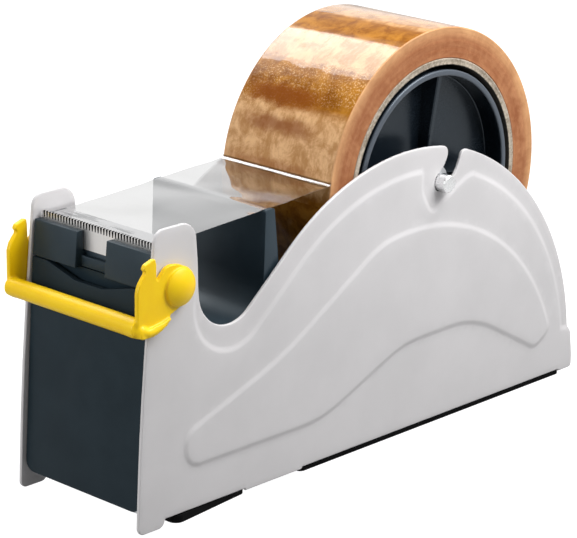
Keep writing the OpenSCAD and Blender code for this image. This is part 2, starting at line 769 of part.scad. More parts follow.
module rear_pad() {
    half = inner_x - 1;
    rear_edge = rear_pad_y + rear_pad_l;
    color("black") linear_extrude(pad_t) polygon(rounded([[-half, rear_pad_y, 2], [half, rear_pad_y, 2],
        [half, rear_edge, 2], [-half, rear_edge, 2]]));
}

// Assembly screws
module tray_screws() {
    color("silver") for (x = [-tray_screw_x, tray_screw_x], y = tray_foot_ys) translate([x, y, pad_t])
        countersunk_screw(base_t + tray_foot_h - screw_short);
}

module panel_screws() {
    back_y = base_front_y + base_t;
    tip_y = panel_y(panel_screw_z) + panel_t + screw_short;
    color("silver") for (x = [-panel_screw_x, panel_screw_x]) translate([x, back_y, panel_screw_z])
        rotate([90, 0, 0]) countersunk_screw(back_y - tip_y);
}

right_side_plate();
left_side_plate();
base_plate();
front_panel();
tape_tray();
blade_holder();
cutter_blade();
safety_guard();
guard_pivot_right();
guard_pivot_left();
hub_right_half();
hub_left_half();
hub_screws();
hub_axle();
axle_clips();
cardboard_core();
tape_roll();
tape_strip();
front_pad();
rear_pad();
tray_screws();
panel_screws();
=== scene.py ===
"""Dresses the bench tape dispenser: pressed plates, mouldings, guard, blade, hub and a roll of tape."""
import json
import math

import bmesh
import bpy
import numpy as np
from mathutils import Matrix, Vector, noise
from mathutils.geometry import delaunay_2d_cdt

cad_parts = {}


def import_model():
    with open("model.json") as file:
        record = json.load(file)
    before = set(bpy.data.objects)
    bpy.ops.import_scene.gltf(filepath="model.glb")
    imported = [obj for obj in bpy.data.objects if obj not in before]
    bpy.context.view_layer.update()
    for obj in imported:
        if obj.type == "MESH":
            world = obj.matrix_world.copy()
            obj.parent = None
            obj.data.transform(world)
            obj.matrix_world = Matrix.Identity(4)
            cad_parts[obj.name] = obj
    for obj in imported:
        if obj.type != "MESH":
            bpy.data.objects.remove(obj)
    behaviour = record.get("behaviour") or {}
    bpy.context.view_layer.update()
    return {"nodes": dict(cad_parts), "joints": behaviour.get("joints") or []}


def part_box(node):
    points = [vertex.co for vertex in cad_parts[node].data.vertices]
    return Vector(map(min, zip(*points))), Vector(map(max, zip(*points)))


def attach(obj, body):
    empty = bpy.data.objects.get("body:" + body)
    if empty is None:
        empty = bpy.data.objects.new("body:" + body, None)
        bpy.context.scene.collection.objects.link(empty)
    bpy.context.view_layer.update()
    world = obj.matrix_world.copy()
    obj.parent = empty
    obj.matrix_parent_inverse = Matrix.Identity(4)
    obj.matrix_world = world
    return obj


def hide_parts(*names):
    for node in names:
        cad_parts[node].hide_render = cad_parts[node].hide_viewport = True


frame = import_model()
nodes = frame["nodes"]
joints = {j["name"]: j for j in frame["joints"]}
MM = 0.001


# Sizes read from the frame, in millimetres
def span(node):
    low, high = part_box(node)
    return [round(v / MM, 3) for v in low], [round(v / MM, 3) for v in high]


def joint_place(name):
    return np.array(joints[name]["pos_m"][1:]) / MM


plate_low, plate_high = span("right_side_plate")
roll_low, roll_high = span("tape_roll")
core_low, core_high = span("cardboard_core")
axle_low, axle_high = span("hub_axle")
tray_low, tray_high = span("tape_tray")
strip_low, strip_high = span("tape_strip")
axle = joint_place("roll_spin")
slot_centre = joint_place("axle_lift")
pivot = joint_place("guard_hinge")
front_y, rear_y = plate_low[1], plate_high[1]
half_tape = roll_high[0]
roll_r = (roll_high[1] - roll_low[1]) / 2
core_r = (core_high[1] - core_low[1]) / 2
axle_r = (axle_high[2] - axle_low[2]) / 2
hub_r, hub_wall = 36.5, 2.1
core_bore_r = 38.1


# Outlines: points are (a, b) or, at a corner to be rounded, (a, b, radius)
def polar(centre, r, degrees):
    turn = math.radians(degrees)
    return np.array(centre) + r * np.array([math.cos(turn), math.sin(turn)])


def arc(centre, r, start, end, steps):
    return [polar(centre, r, start + (end - start) * i / steps) for i in range(steps + 1)]


def bearing(v):
    return math.degrees(math.atan2(v[1], v[0]))


def rounded(corners, fineness=6):
    """The outline with each corner that has a radius drawn as an arc, in steps of that many degrees"""
    points = []
    for i, corner in enumerate(corners):
        here = np.array(corner[:2], float)
        r = corner[2] if len(corner) > 2 else 0
        if r <= 0:
            points.append(here)
            continue
        u = np.array(corners[i - 1][:2], float) - here
        v = np.array(corners[(i + 1) % len(corners)][:2], float) - here
        u, v = u / np.linalg.norm(u), v / np.linalg.norm(v)
        half = math.acos(np.clip(u @ v, -1, 1)) / 2
        middle = (u + v) / np.linalg.norm(u + v)
        centre = here + middle * r / math.sin(half)
        start = bearing(here + u * r / math.tan(half) - centre)
        sweep = (bearing(here + v * r / math.tan(half) - centre) - start + 180) % 360 - 180
        points += arc(centre, r, start, start + sweep, max(3, math.ceil(abs(sweep) / fineness)))
    return points


def meet(p, u, q, v):
    """Where the line through p along u meets the line through q along v"""
    p, u, q, v = (np.array(w[:2], float) for w in (p, u, q, v))
    gap = q - p
    return p + u * (gap[0] * v[1] - gap[1] * v[0]) / (u[0] * v[1] - u[1] * v[0])


def circles_meet(c1, r1, c2, r2):
    """The rear one of the two points where two circles cross"""
    c1, c2 = np.array(c1, float), np.array(c2, float)
    d = np.linalg.norm(c2 - c1)
    along = (d * d + r1 * r1 - r2 * r2) / (2 * d)
    aside = math.sqrt(r1 * r1 - along * along)
    u = (c2 - c1) / d
    both = [c1 + along * u + s * aside * np.array([-u[1], u[0]]) for s in (1, -1)]
    return max(both, key=lambda p: p[0])


def resampled(outline, step, closed=True):
    """The outline again, with points about that far apart and its sharp corners kept"""
    points = []
    count = len(outline)
    for i in range(count if closed else count - 1):
        a, b = np.array(outline[i], float), np.array(outline[(i + 1) % count], float)
        parts = max(1, round(np.linalg.norm(b - a) / step))
        points += [a + (b - a) * k / parts for k in range(parts)]
    return np.array(points)


def inside_by(points, outline):
    """How far each point lies inside a closed outline, negative outside it"""
    a = np.array(outline, float)
    b = np.roll(a, -1, 0)
    d = b - a
    keep = (d * d).sum(1) > 1e-12
    a, b, d = a[keep], b[keep], d[keep]
    depth = []
    for block in np.array_split(np.array(points, float), max(1, len(points) // 2000)):
        rel = block[:, None] - a
        t = np.clip((rel * d).sum(2) / (d * d).sum(1), 0, 1)
        gap = np.linalg.norm(rel - t[..., None] * d, axis=2).min(1)
        y, z = block[:, :1], block[:, 1:]
        spans = (a[:, 1] <= z) != (b[:, 1] <= z)
        slope = d[:, 0] / np.where(d[:, 1] == 0, 1, d[:, 1])
        crossings = (spans & (y < a[:, 0] + (z - a[:, 1]) * slope)).sum(1)
        depth.append(np.where(crossings % 2 == 1, gap, -gap))
    return np.concatenate(depth)


def smoothstep(low, high, v):
    t = np.clip((v - low) / (high - low), 0, 1)
    return t * t * (3 - 2 * t)


# Pieces
SMOOTH_ANGLE = math.radians(32)


def new_piece(name, points, faces):
    """A mesh piece from points in millimetres"""
    mesh = bpy.data.meshes.new(name)
    mesh.from_pydata([Vector(p) * MM for p in points], [], faces)
    mesh.validate()
    piece = bpy.data.objects.new(name, mesh)
    bpy.context.scene.collection.objects.link(piece)
    tidy_normals(piece)
    return piece


def tidy_normals(piece):
    bm = bmesh.new()
    bm.from_mesh(piece.data)
    bmesh.ops.recalc_face_normals(bm, faces=bm.faces)
    bm.to_mesh(piece.data)
    bm.free()
    piece.data.shade_smooth()
    piece.data.set_sharp_from_angle(angle=SMOOTH_ANGLE)


def dress(piece, body, material, slot, *replaced):
    """Gives a piece its finish and its body, and lets it stand for the nodes named last"""
    piece.data.materials.clear()
    piece.data.materials.append(material)
    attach(piece, body)
    if replaced:
        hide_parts(*replaced)
    return piece


def finish_node(node, material):
    nodes[node].data.materials.clear()
    nodes[node].data.materials.append(material)


def joined(*shells):
    """Several (points, faces) shells as one"""
    points, faces = [], []
    for more_points, more_faces in shells:
        faces += [[i + len(points) for i in face] for face in more_faces]
        points += [tuple(p) for p in more_points]
    return points, faces


def mirrored(shell):
    points, faces = shell
    return [(-p[0], p[1], p[2]) for p in points], [list(reversed(f)) for f in faces]


def lathe(profile, centre=axle, segments=160):
    """A closed profile of (x, radius) points turned about the line through centre along X"""
    points = []
    for i in range(segments):
        out = polar((0, 0), 1, 360 * i / segments)
        points += [(x, centre[0] + r * out[0], centre[1] + r * out[1]) for x, r in profile]
    n = len(profile)
    faces = []
    for i in range(segments):
        near, far = i * n, (i + 1) % segments * n
        faces += [[near + k, near + (k + 1) % n, far + (k + 1) % n, far + k] for k in range(n)]
    return points, faces


def prism_faces(n):
    """Walls and ends of a prism whose two outlines have n points each"""
    walls = [[k, (k + 1) % n, n + (k + 1) % n, n + k] for k in range(n)]
    return walls + [list(range(n - 1, -1, -1)), list(range(n, 2 * n))]


def swept(path, radii, sides=24):
    """A closed round bar along a path of (x, y, z) points"""
    path = [Vector(p) for p in path]
    points, faces = [], []
    for i, here in enumerate(path):
        ahead = (path[min(i + 1, len(path) - 1)] - path[max(i - 1, 0)]).normalized()
        across = ahead.orthogonal() if i == 0 else (across - ahead * across.dot(ahead))
        across.normalize()
        up = ahead.cross(across)
        for k in range(sides):
            turn = 2 * math.pi * k / sides
            points.append(here + radii[i] * (across * math.cos(turn) + up * math.sin(turn)))
    for i in range(len(path) - 1):
        near, far = i * sides, (i + 1) * sides
        faces += [[near + k, near + (k + 1) % sides, far + (k + 1) % sides, far + k] for k in range(sides)]
    last = (len(path) - 1) * sides
    return points, faces + [list(range(sides - 1, -1, -1)), list(range(last, last + sides))]


def softened(node, width, steps=3):
    """A copy of a node with its sharp edges rounded by that many millimetres"""
    bm = bmesh.new()
    bm.from_mesh(nodes[node].data)
    bmesh.ops.remove_doubles(bm, verts=bm.verts, dist=0.005 * MM)
    bmesh.ops.dissolve_limit(bm, angle_limit=math.radians(0.5), verts=bm.verts, edges=bm.edges)
    sharp = [e for e in bm.edges if len(e.link_faces) == 2 and e.calc_face_angle(0) > SMOOTH_ANGLE]
    bmesh.ops.bevel(bm, geom=sharp, offset=width * MM, segments=steps, profile=0.5, affect="EDGES",
                    clamp_overlap=True)
    mesh = bpy.data.meshes.new(node + "_soft")
    bm.to_mesh(mesh)
    bm.free()
    piece = bpy.data.objects.new(node + "_soft", mesh)
    bpy.context.scene.collection.objects.link(piece)
    tidy_normals(piece)
    return piece


def with_modifiers_applied(piece):
    """Replaces the piece's mesh by what its modifiers make of it"""
    graph = bpy.context.evaluated_depsgraph_get()
    mesh = bpy.data.meshes.new_from_object(piece.evaluated_get(graph))
    piece.modifiers.clear()
    piece.data = mesh
    return piece


def moulded(piece, voxel, rounds):
    """Melts overlapping shells into one skin and softens its edges"""
    melt = piece.modifiers.new("melt", "REMESH")
    melt.mode = "VOXEL"
    melt.voxel_size = voxel * MM
    soften = piece.modifiers.new("soften", "SMOOTH")
    soften.factor = 0.5
    soften.iterations = rounds
    with_modifiers_applied(piece)
    piece.data.shade_smooth()
    return piece


# Node wiring: a Wire is a socket with arithmetic that adds Math nodes
class Wire:
    def __init__(self, socket):
        self.socket = socket

    def node(self, kind, settings=None, inputs=None, out=0):
        """Adds a node to the same material: settings first, then values or links of its sockets"""
        made = self.socket.id_data.nodes.new(kind)
        for name, value in (settings or {}).items():
            setattr(made, name, value)
        feed(made, inputs or {})
        return Wire(made.outputs[out])

    def math(self, operation, *others):
        return self.node("ShaderNodeMath", {"operation": operation}, dict(enumerate((self, *others))))

    def __add__(self, other):
        return self.math("ADD", other)

    def __sub__(self, other):
        return self.math("SUBTRACT", other)

    def __rsub__(self, other):
        return (self * -1) + other

    def __mul__(self, other):
        return self.math("MULTIPLY", other)

    def __truediv__(self, other):
        return self.math("DIVIDE", other)

    __radd__ = __add__
    __rmul__ = __mul__

    def most(self, *others):
        """The greatest of this value and the others"""
        greatest = self
        for other in others:
            greatest = greatest.math("MAXIMUM", other)
        return greatest

    def between(self, low, high):
        """0 below low, 1 above high, and a smooth rise from one to the other"""
        settings = {"interpolation_type": "SMOOTHSTEP"}
        return self.node("ShaderNodeMapRange", settings, {"Value": self, "From Min": low, "From Max": high})

    def near(self, middle, half, soft):
        """1 within half of the middle, and a smooth fall to 0 over the soft width"""
        return 1 - (self - middle).math("ABSOLUTE").between(half, half + soft)

    def tint(self, low, high):
        """A colour between two, by this value"""
        return self.node("ShaderNodeMix", {"data_type": "RGBA"}, {0: self, 6: low, 7: high}, out=2)

    def scaled(self, factors):
        return self.node("ShaderNodeVectorMath", {"operation": "MULTIPLY"}, {0: self, 1: factors})

    def speckle(self, scale, detail=3, rough=0.55, twist=0):
        """Noise of about 1/scale metres, read at this place"""
        inputs = {"Vector": self, "Scale": scale, "Detail": detail, "Roughness": rough, "Distortion": twist}
        return self.node("ShaderNodeTexNoise", None, inputs)

    def axes(self):
        split = self.node("ShaderNodeSeparateXYZ", None, {"Vector": self}).socket.node
        return [Wire(socket) for socket in split.outputs]

    def from_axle(self):
        """This place measured from the axle, with its three parts and its distance from the axle's line"""
        inputs = {0: self, 1: (0, *(axle * MM))}
        centred = self.node("ShaderNodeVectorMath", {"operation": "SUBTRACT"}, inputs)
        x, y, z = centred.axes()
        return centred, x, y, z, (y * y + z * z).math("SQRT")

    def bump(self, strength, depth):
        """A bumped normal from this height, depth millimetres deep"""
        inputs = {"Strength": strength, "Distance": depth * MM, "Height": self}
        return self.node("ShaderNodeBump", None, inputs)


def feed(made, inputs):
    for name, value in inputs.items():
        if isinstance(value, Wire):
            made.id_data.links.new(value.socket, made.inputs[name])
        elif isinstance(value, tuple) and len(value) == 3 and made.inputs[name].type == "RGBA":
            made.inputs[name].default_value = (*value, 1)
        else:
            made.inputs[name].default_value = value


def new_finish(name):
    """A material, its shader and the place on the object in metres"""
    material = bpy.data.materials.new(name)
    material.use_nodes = True
    tree = material.node_tree
    place = Wire(tree.nodes.new("ShaderNodeTexCoord").outputs["Object"])
    return material, tree.nodes["Principled BSDF"], place


# Finishes
def satin_paint():
    """Light warm grey powder coat with a fine orange peel"""
    material, shader, place = new_finish("satin_paint")
    cloud = place.speckle(35, 4).between(0.3, 0.7)
    grain = place.speckle(2600, 2)
    peel = place.speckle(900, 2)
    feed(shader, {"Base Color": (cloud * 0.8 + grain * 0.2).tint((0.605, 0.592, 0.598), (0.655, 0.64, 0.647)),
                  "Roughness": 0.36 + cloud * 0.06 + grain * 0.06,
                  "Normal": (peel + grain * 0.3).bump(0.12, 0.05),
                  "Specular IOR Level": 0.45})
    return material


def dark_plastic(name, low, high, gloss, shine, grain_depth, rim_highlight=None):
    """Moulded blue-black plastic with a fine spark-eroded grain, on the hub with a painted highlight on the rim
    """
    material, shader, place = new_finish(name)
    cloud = place.speckle(60, 4).between(0.3, 0.7)
    grain = place.speckle(3800, 3, 0.6)
    dust = place.speckle(1500, 2).between(0.7, 0.78)
    colour = (cloud * 0.7 + grain * 0.3 + dust * 0.25).tint(low, high)
    # On the hub the drum's rim end gets a painted highlight, a lighter tone than the plastic
    if rim_highlight:
        _, x, _, _, radius = place.from_axle()
        inner = hub_r - hub_wall
        rim = radius.between((inner - 0.2) * MM, (inner + 0.2) * MM)
        rim = rim * x.math("ABSOLUTE").between((half_tape - 0.9) * MM, (half_tape - 0.3) * MM)
        colour = (rim * (0.7 + grain * 0.4)).tint(colour, rim_highlight)
    feed(shader, {"Base Color": colour,
                  "Roughness": gloss + grain * 0.12 + cloud * 0.05,
                  "Normal": grain.bump(0.25, grain_depth),
                  "Specular IOR Level": shine, "Specular Tint": (0.76, 0.89, 1)})
    return material


def yellow_plastic():
    """Glossy signal-yellow moulding with a faint cloud in its tone"""
    material, shader, place = new_finish("yellow_plastic")
    cloud = place.speckle(110, 4).between(0.3, 0.7)
    grain = place.speckle(2400, 3)
    feed(shader, {"Base Color": (cloud * 0.6 + grain * 0.4).tint((0.94, 0.57, 0.0005), (1.0, 0.68, 0.002)),
                  "Roughness": 0.36 + grain * 0.1,
                  "Normal": grain.bump(0.2, 0.05),
                  "Specular IOR Level": 0.36})
    return material


def ground_steel(name, tone, gloss, stretch, depth, flank_shade=None):
    """Bare steel with fine lines; stretch squeezes the grain, and flank_shade is painted shade on stamped
    flanks that face sideways
    """
    material, shader, place = new_finish(name)
    lines = place.scaled(stretch).speckle(1000, 4, 0.65)
    cloud = place.speckle(90, 3)
    colour = (lines * 0.7 + cloud * 0.3).tint(tuple(0.85 * t for t in tone), tone)
    # Painted shade on faces that turn sideways, the teeth's flanks, so the gaps between the teeth read dark
    if flank_shade:
        sideways = place.node("ShaderNodeNewGeometry", out="True Normal").axes()[0].math("ABSOLUTE")
        colour = sideways.between(0.5, 0.8).tint(colour, flank_shade)
    feed(shader, {"Base Color": colour,
                  "Metallic": 1.0,
                  "Roughness": gloss + lines * 0.14,
                  "Normal": lines.bump(0.25, depth)})
    return material


def grey_board():
    """Wound paper board speckled with fibres, with painted shade darkening it towards its inner face"""
    material, shader, place = new_finish("grey_board")
    fibre = place.scaled((3, 1, 1)).speckle(1000, 5, 0.75)
    cloud = place.speckle(140, 4).between(0.3, 0.7)
    *_, radius = place.from_axle()
    # Painted shade: the board goes nearly black near its inner face, with a ragged edge from the fibres
    bore_shade = 1 - (radius + fibre * (0.8 * MM)).between((core_bore_r + 0.4) * MM, (core_bore_r + 0.9) * MM)
    face = (fibre * 0.85 + cloud * 0.15).between(0.3, 0.7).tint((0.21, 0.167, 0.12), (0.54, 0.47, 0.38))
    feed(shader, {"Base Color": bore_shade.tint(face, (0.03, 0.025, 0.02)),
                  "Roughness": 0.85,
                  "Normal": fibre.bump(0.6, 0.15)})
    return material


def wound_tape():
    """Clear film on amber adhesive: mottled and streaked on the face, ringed on the sides"""
    material, shader, place = new_finish("wound_tape")
    centred, x, y, z, radius = place.from_axle()
    angle = z.math("ARCTAN2", y)
    side = x.math("ABSOLUTE").between((half_tape - 0.7) * MM, (half_tape - 0.25) * MM)

    # Face: places along the film (angle times radius) and across it, and the turn in degrees
    around = place.node("ShaderNodeCombineXYZ", None, {"X": x, "Y": angle * (roll_r * MM), "Z": 0.0})
    turn, across = angle * (180 / math.pi), x / MM
    mottle = around.speckle(120, 6, 0.7, 0.4).between(0.3, 0.7)
    streaks = around.scaled((0.3, 1, 1)).speckle(130, 4, 0.6, 0.4)
    fine = around.speckle(1100, 3, 0.7)
    hairs = around.scaled((1, 0.3, 1)).speckle(900, 3, 0.65)
    wander = turn + (around.speckle(150, 5, 0.7) - 0.5) * 7
    amber = (mottle * 0.7 + streaks * 0.3).between(0.1, 0.9).tint((0.2, 0.06, 0.001), (0.42, 0.172, 0.017))
    pale = (mottle * 0.5 + hairs * 0.5).between(0.25, 0.75).tint((0.41, 0.2, 0.065), (0.69, 0.41, 0.2))

    # Where air got under the film it is pale, and bubbles lie at the border of such a place; the pale bands set
    # by angle are painted light: a reflection along the top, a highlight under the gloss band and a sheen low
    # on the face
    air_and_sheen = around.speckle(30, 3, 0.6, 0.5).between(0.5, 0.62) * (1 - wander.near(122, 25, 2))
    air_and_sheen = air_and_sheen.most(wander.near(162, 13, 4), wander.near(120, 7, 2) * 0.75, turn.near(90, 6, 3) * 0.65)
    froth = around.speckle(1250, 4, 0.8, 0.2).between(0.5, 0.66) * (0.35 + mottle * 0.65)
    bubbles = froth * (wander + across * 0.2).near(137, 7, 5)
    face = air_and_sheen.tint(amber, pale)
    face = (bubbles * 0.95).tint(face, (0.82, 0.56, 0.29))
    stain = (wander.near(143.3, 1.2, 5) * across.near(-6, 9, 12) * 0.9).most(
        wander.near(154.6, 0.6, 4) * across.near(-3, 7, 12) * 0.75,
        wander.near(169.5, 0.5, 3) * across.near(-4, 12, 12) * 0.5)
    face = stain.tint(face, (0.21, 0.05, 0.001))

    # Sides: rings of film edges, paler towards the rim, with cloudy places where air got in
    rings = place.node("ShaderNodeCombineXYZ", None, {"X": radius, "Y": angle * 0.0025, "Z": 0.0})
    fine_ring = rings.speckle(2600, 3, 0.6)
    broad_ring = rings.speckle(500, 3, 0.6).between(0.3, 0.7)
    rim = radius.between((roll_r - 5) * MM, (roll_r + 0.6) * MM)
    flecks = centred.speckle(420, 4, 0.7, 0.5).between(0.35, 0.7)
    cloudy = centred.speckle(75, 4, 0.6, 0.6).between(0.42, 0.66)
    wound = fine_ring * 0.25 + broad_ring * 0.2 + cloudy * 0.3 + flecks * 0.25
    edge = wound.tint((0.25, 0.078, 0.03), (0.53, 0.25, 0.118))
    edge = (rim * (0.6 + cloudy * 0.4)).tint(edge, (0.74, 0.42, 0.2))

    # The gloss is dulled beside the smooth places
    ragged = turn + (around.speckle(260, 5, 0.75) - 0.5) * 3
    dull = (ragged + across * 0.13).near(103, 7, 0.8).most(
        wander.near(140, 9.3, 0.6), wander.near(160, 12, 2) * 0.75)
    patches = around.speckle(95, 5, 0.7, 0.8).between(0.45, 0.75)
    waviness = around.speckle(85, 2, 0.5, 0.3) * 0.5 + fine * 0.07 + streaks * 0.15
    feed(shader, {"Base Color": side.tint(face, edge),
                  "Roughness": side * 0.3 + 0.2 + mottle * 0.06,
                  "Normal": (waviness * (1 - side) + fine_ring * side * 0.08).bump(1.0, 0.5),
                  "Specular IOR Level": 0.1,
                  "Coat Weight": (0.85 - patches * 0.3) * (1 - dull * 0.95) * (1 - side) + 0.03,
                  "Coat Roughness": 0.08, "Coat IOR": 1.6})
    return material


def clear_film():
    """Thin clear film: mirror-like at a grazing look, and seen through otherwise"""
    material, shader, place = new_finish("clear_film")
    ripple = place.scaled((1, 0.5, 1)).speckle(60, 3, 0.5, 0.5)
    above_fin = place.axes()[2] / MM - tray_high[2]
    feed(shader, {"Base Color": (0.87, 0.87, 0.875), "Metallic": 1.0, "Roughness": 0.05,
                  "Normal": ripple.bump(0.12, 0.5)})
    tree = material.node_tree
    see_through = place.node("ShaderNodeBsdfTransparent", None, {"Color": (0.79, 0.79, 0.785)})
    inner_side = place.node("ShaderNodeNewGeometry", out="Backfacing")
    stuck = 1 - place.axes()[1].between((tray_low[1] + 7.5) * MM, (tray_low[1] + 10) * MM)
    creases = place.scaled((0.12, 1, 1)).speckle(420, 3, 0.6).between(0.5, 0.62)
    haze = stuck * (0.12 - creases * 0.3)
    gloss = (place.node("ShaderNodeFresnel", None, {"IOR": 1.5}) * 2.9 + 0.03 + haze) * (1 - inner_side)
    # The lip of film at the roll has no gloss
    gloss = gloss * (1 - above_fin.between(1.9, 1.97))
    mixed = place.node("ShaderNodeMixShader", None, {0: gloss, 1: see_through, 2: Wire(shader.outputs[0])})
    tree.links.new(mixed.socket, tree.nodes["Material Output"].inputs["Surface"])
    return material


def black_rubber():
    """Matt black rubber with a dusty bloom"""
    material, shader, place = new_finish("black_rubber")
    bloom = place.speckle(160, 5, 0.65).between(0.4, 0.75)
    grain = place.speckle(2200, 3)
    black, grey = (0.001, 0.001, 0.0012), (0.003, 0.003, 0.0033)
    feed(shader, {"Base Color": (bloom * 0.7 + grain * 0.3).tint(black, grey),
                  "Roughness": 0.6 + bloom * 0.2,
                  "Normal": grain.bump(0.4, 0.08),
                  "Specular IOR Level": 0.06})
    return material


grey_paint = satin_paint()
navy = dark_plastic("navy_plastic", (0.009, 0.0165, 0.022), (0.015, 0.025, 0.032), 0.34, 0.15, 0.03)
tray_navy = dark_plastic("tray_plastic", (0.01, 0.019, 0.027), (0.017, 0.03, 0.04), 0.32, 0.55, 0.03)
tab_navy = dark_plastic("tab_plastic", (0.01, 0.019, 0.026), (0.017, 0.029, 0.038), 0.34, 0.3, 0.03)
# The hub's last colour is the painted highlight on the drum's rim
hub_navy = dark_plastic("hub_plastic", (0.004, 0.0065, 0.01), (0.007, 0.011, 0.016), 0.17, 0.5, 0.02,
                        (0.085, 0.098, 0.118))
yellow = yellow_plastic()
# The blade's last colour is the painted shade on its teeth's flanks
blade_steel = ground_steel("blade_steel", (0.78, 0.76, 0.74), 0.3, (1, 1, 0.05), 0.01, (0.012, 0.012, 0.013))
bright_steel = ground_steel("bright_steel", (0.95, 0.955, 0.96), 0.2, (0.2, 1, 1), 0.004)
zinc = ground_steel("zinc_steel", (0.62, 0.64, 0.66), 0.3, (0.4, 0.4, 0.4), 0.02)
board = grey_board()
tape = wound_tape()
film = clear_film()
rubber = black_rubber()

# Side plates: one pressed sheet, with a rim, a raised field, a funnel round the slot and an S-shaped swell
press_h, sheet_t, fold_w = 0.5, 1.2, 2.4
edge_r, pivot_hole_r = 0.4, 3
horn_z = 94.7
rim_face_x = plate_high[0] - 2 * press_h
rim_w, rim_taper = 7.5, 2.2
hump = np.array([rear_y - 89.8, 10.5])
hump_r = 87.5
front_hump, front_hump_r = hump + (2, 0), hump_r - 0.4
valley_slope, valley_r, horn_lean = 40, 13, 2.4
valley_dir = polar((0, 0), 1, valley_slope)
wall_foot_z, hump_end_z = 66, 18
field_out, field_lean, field_valley_r = 4, -4, 16
horn_front_y = front_y + 7.2
horn_back_y = horn_front_y + 16.6
plate_z, notch_z, toe_z = 2.2, 2.9, plate_low[2]
slot_half = axle_r + 0.3
slot_r = float(np.linalg.norm(axle - slot_centre))


def top_edge(centre, radius, top_y, lean, r):
    """Horn's back wall, valley and hump, the hump with that centre and radius"""
    wall, foot = np.array([top_y, horn_z]), np.array([top_y + lean, wall_foot_z])
    low = meet(wall, foot - wall, polar(centre, radius, 90 + valley_slope), valley_dir)
    end = math.degrees(math.asin((hump_end_z - centre[1]) / radius))
    return [(*low, r)], arc(centre, radius, 90 + valley_slope, end, 90)


def lower_edge():
    """Rear corner, the two notches over the pads and the back of the toe"""
    toe_y, front_notch_y, rear_notch_y = front_y + 11, front_y + 45.6, rear_y - 7.4
    middle_y = rear_y - 138.2
    return [(rear_y - 1.2, 15.6, 2), (rear_y, 7, 4), (rear_y, plate_z, 1.4), (rear_notch_y, plate_z, 0.4),
            (rear_notch_y, notch_z, 0.3), (middle_y, notch_z, 0.3), (middle_y, plate_z, 0.4),
            (front_notch_y, plate_z, 0.4), (front_notch_y, notch_z, 0.3), (toe_y, notch_z, 0.5),
            (toe_y, toe_z, 2.4)]


def front_edge():
    return [(front_y, toe_z, 2.4), (front_y + 1.4, 34.5, 800), (horn_front_y, horn_z, 4)]


def slot_edge():
    """Left mouth corner, down to the axle's seat and up to the right mouth corner"""
    inner, outer = slot_r - slot_half, slot_r + slot_half
    left = circles_meet(slot_centre, inner, front_hump, front_hump_r)
    right = circles_meet(slot_centre, outer, hump, hump_r)
    seat = bearing(axle - slot_centre)
    down = arc(slot_centre, inner, bearing(left - slot_centre), seat, 14)
    round_seat = arc(axle, slot_half, seat + 180, seat + 360, 24)
    up = arc(slot_centre, outer, seat, bearing(right - slot_centre), 20)
    return down, round_seat, up


def eased(before, corner, after, steps=8):
    """A smooth turn from one point to another that bends towards the corner"""
    before, corner, after = (np.array(p) for p in (before, corner, after))
    ts = [i / steps for i in range(steps + 1)]
    return [(1 - t) ** 2 * before + 2 * t * (1 - t) * corner + t * t * after for t in ts]


def plate_outline():
    """The sheet's edge: the hump is one circle in front of the slot and another behind it"""
    low, front_crest = top_edge(front_hump, front_hump_r, horn_back_y, horn_lean, valley_r)
    _, rear_crest = top_edge(hump, hump_r, horn_back_y, horn_lean, valley_r)
    down, round_seat, up = slot_edge()
    left, right = down[0], up[-1]
    ease = 2.4
    crest_left = [p for p in front_crest if p[0] < left[0] - ease]
    crest_right = [p for p in rear_crest if p[0] > right[0] + ease]
    down = [p for p in down if np.linalg.norm(p - left) > ease]
    up = [p for p in up if np.linalg.norm(p - right) > ease]
    corners = rounded(front_edge() + [(horn_back_y, horn_z, 6)] + low + [tuple(p) for p in crest_left[:1]]
                      + [tuple(crest_right[-1])] + lower_edge(), 4)
    start = min(range(len(corners)), key=lambda i: np.linalg.norm(corners[i] - crest_left[0]))
    mouth = (eased(crest_left[-1], left, down[0]) + down[1:] + round_seat[1:-1] + up[:-1]
             + eased(up[-1], right, crest_right[0]))
    return corners[:start] + crest_left[:-1] + mouth + crest_right[1:-1] + corners[start + 1:]


def field_outline():
    wall_y = horn_back_y + field_out
    low, crest = top_edge(hump + (rim_taper, -rim_taper), hump_r - rim_w + 0.7 * rim_taper, wall_y, field_lean,
                          field_valley_r)
    far, ledge_z = 6, 15.8
    return rounded([(front_y - far, toe_z - far), (front_y - far, horn_z + far), (wall_y, horn_z + far)]
                   + low + [tuple(p) for p in crest] + [(rear_y + far, ledge_z), (rear_y + far, toe_z - far)])


def swell_outline():
    centre, low_z, nose_y = hump + (4, -15.5), 16.8, front_y + 19.6
    y = hump[0]
    back = [tuple(p) for p in arc(centre, 76, 22, 95, 40)]
    lower = [(nose_y, low_z, 6), (y - 40, low_z, 45), (y - 1, low_z + 16, 40), (y + 34, low_z + 16.7, 45),
             (y + 68, low_z - 2.3, 5), (y + 76.6, low_z + 2.8, 4)]
    upper = [(*(centre + (-16.7, 74.8)), 30), (y - 58, low_z + 25.9, 120), (nose_y, 28, 6)]
    return rounded(lower + back + upper)


def funnel_outline():
    y, z = axle
    top = hump[1] + hump_r
    return rounded([(y - 9.6, top), (y - 9.6, z - 2, 8), (y - 4.8, z - 10, 3), (y + 8, z - 2.5, 20),
                    (y + 18, z + 1.5), (y + 18, top)])


folds = field_outline(), funnel_outline(), swell_outline()


def pressed_height(points):
    """How far each place is pressed out from the rim's face"""
    field, funnel, swell = (smoothstep(-fold_w / 2, fold_w / 2, inside_by(points, line)) for line in folds)
    return press_h * (field * (1 - funnel) + swell)


def set_in(ring, by):
    """A closed ring moved inwards, to the right of its direction"""
    ahead = np.roll(ring, -1, 0) - ring
    behind = ring - np.roll(ring, 1, 0)
    ahead /= np.linalg.norm(ahead, axis=1)[:, None]
    behind /= np.linalg.norm(behind, axis=1)[:, None]
    normal = np.stack([ahead[:, 1] + behind[:, 1], -ahead[:, 0] - behind[:, 0]], 1)
    normal /= np.linalg.norm(normal, axis=1)[:, None]
    return ring + normal * by


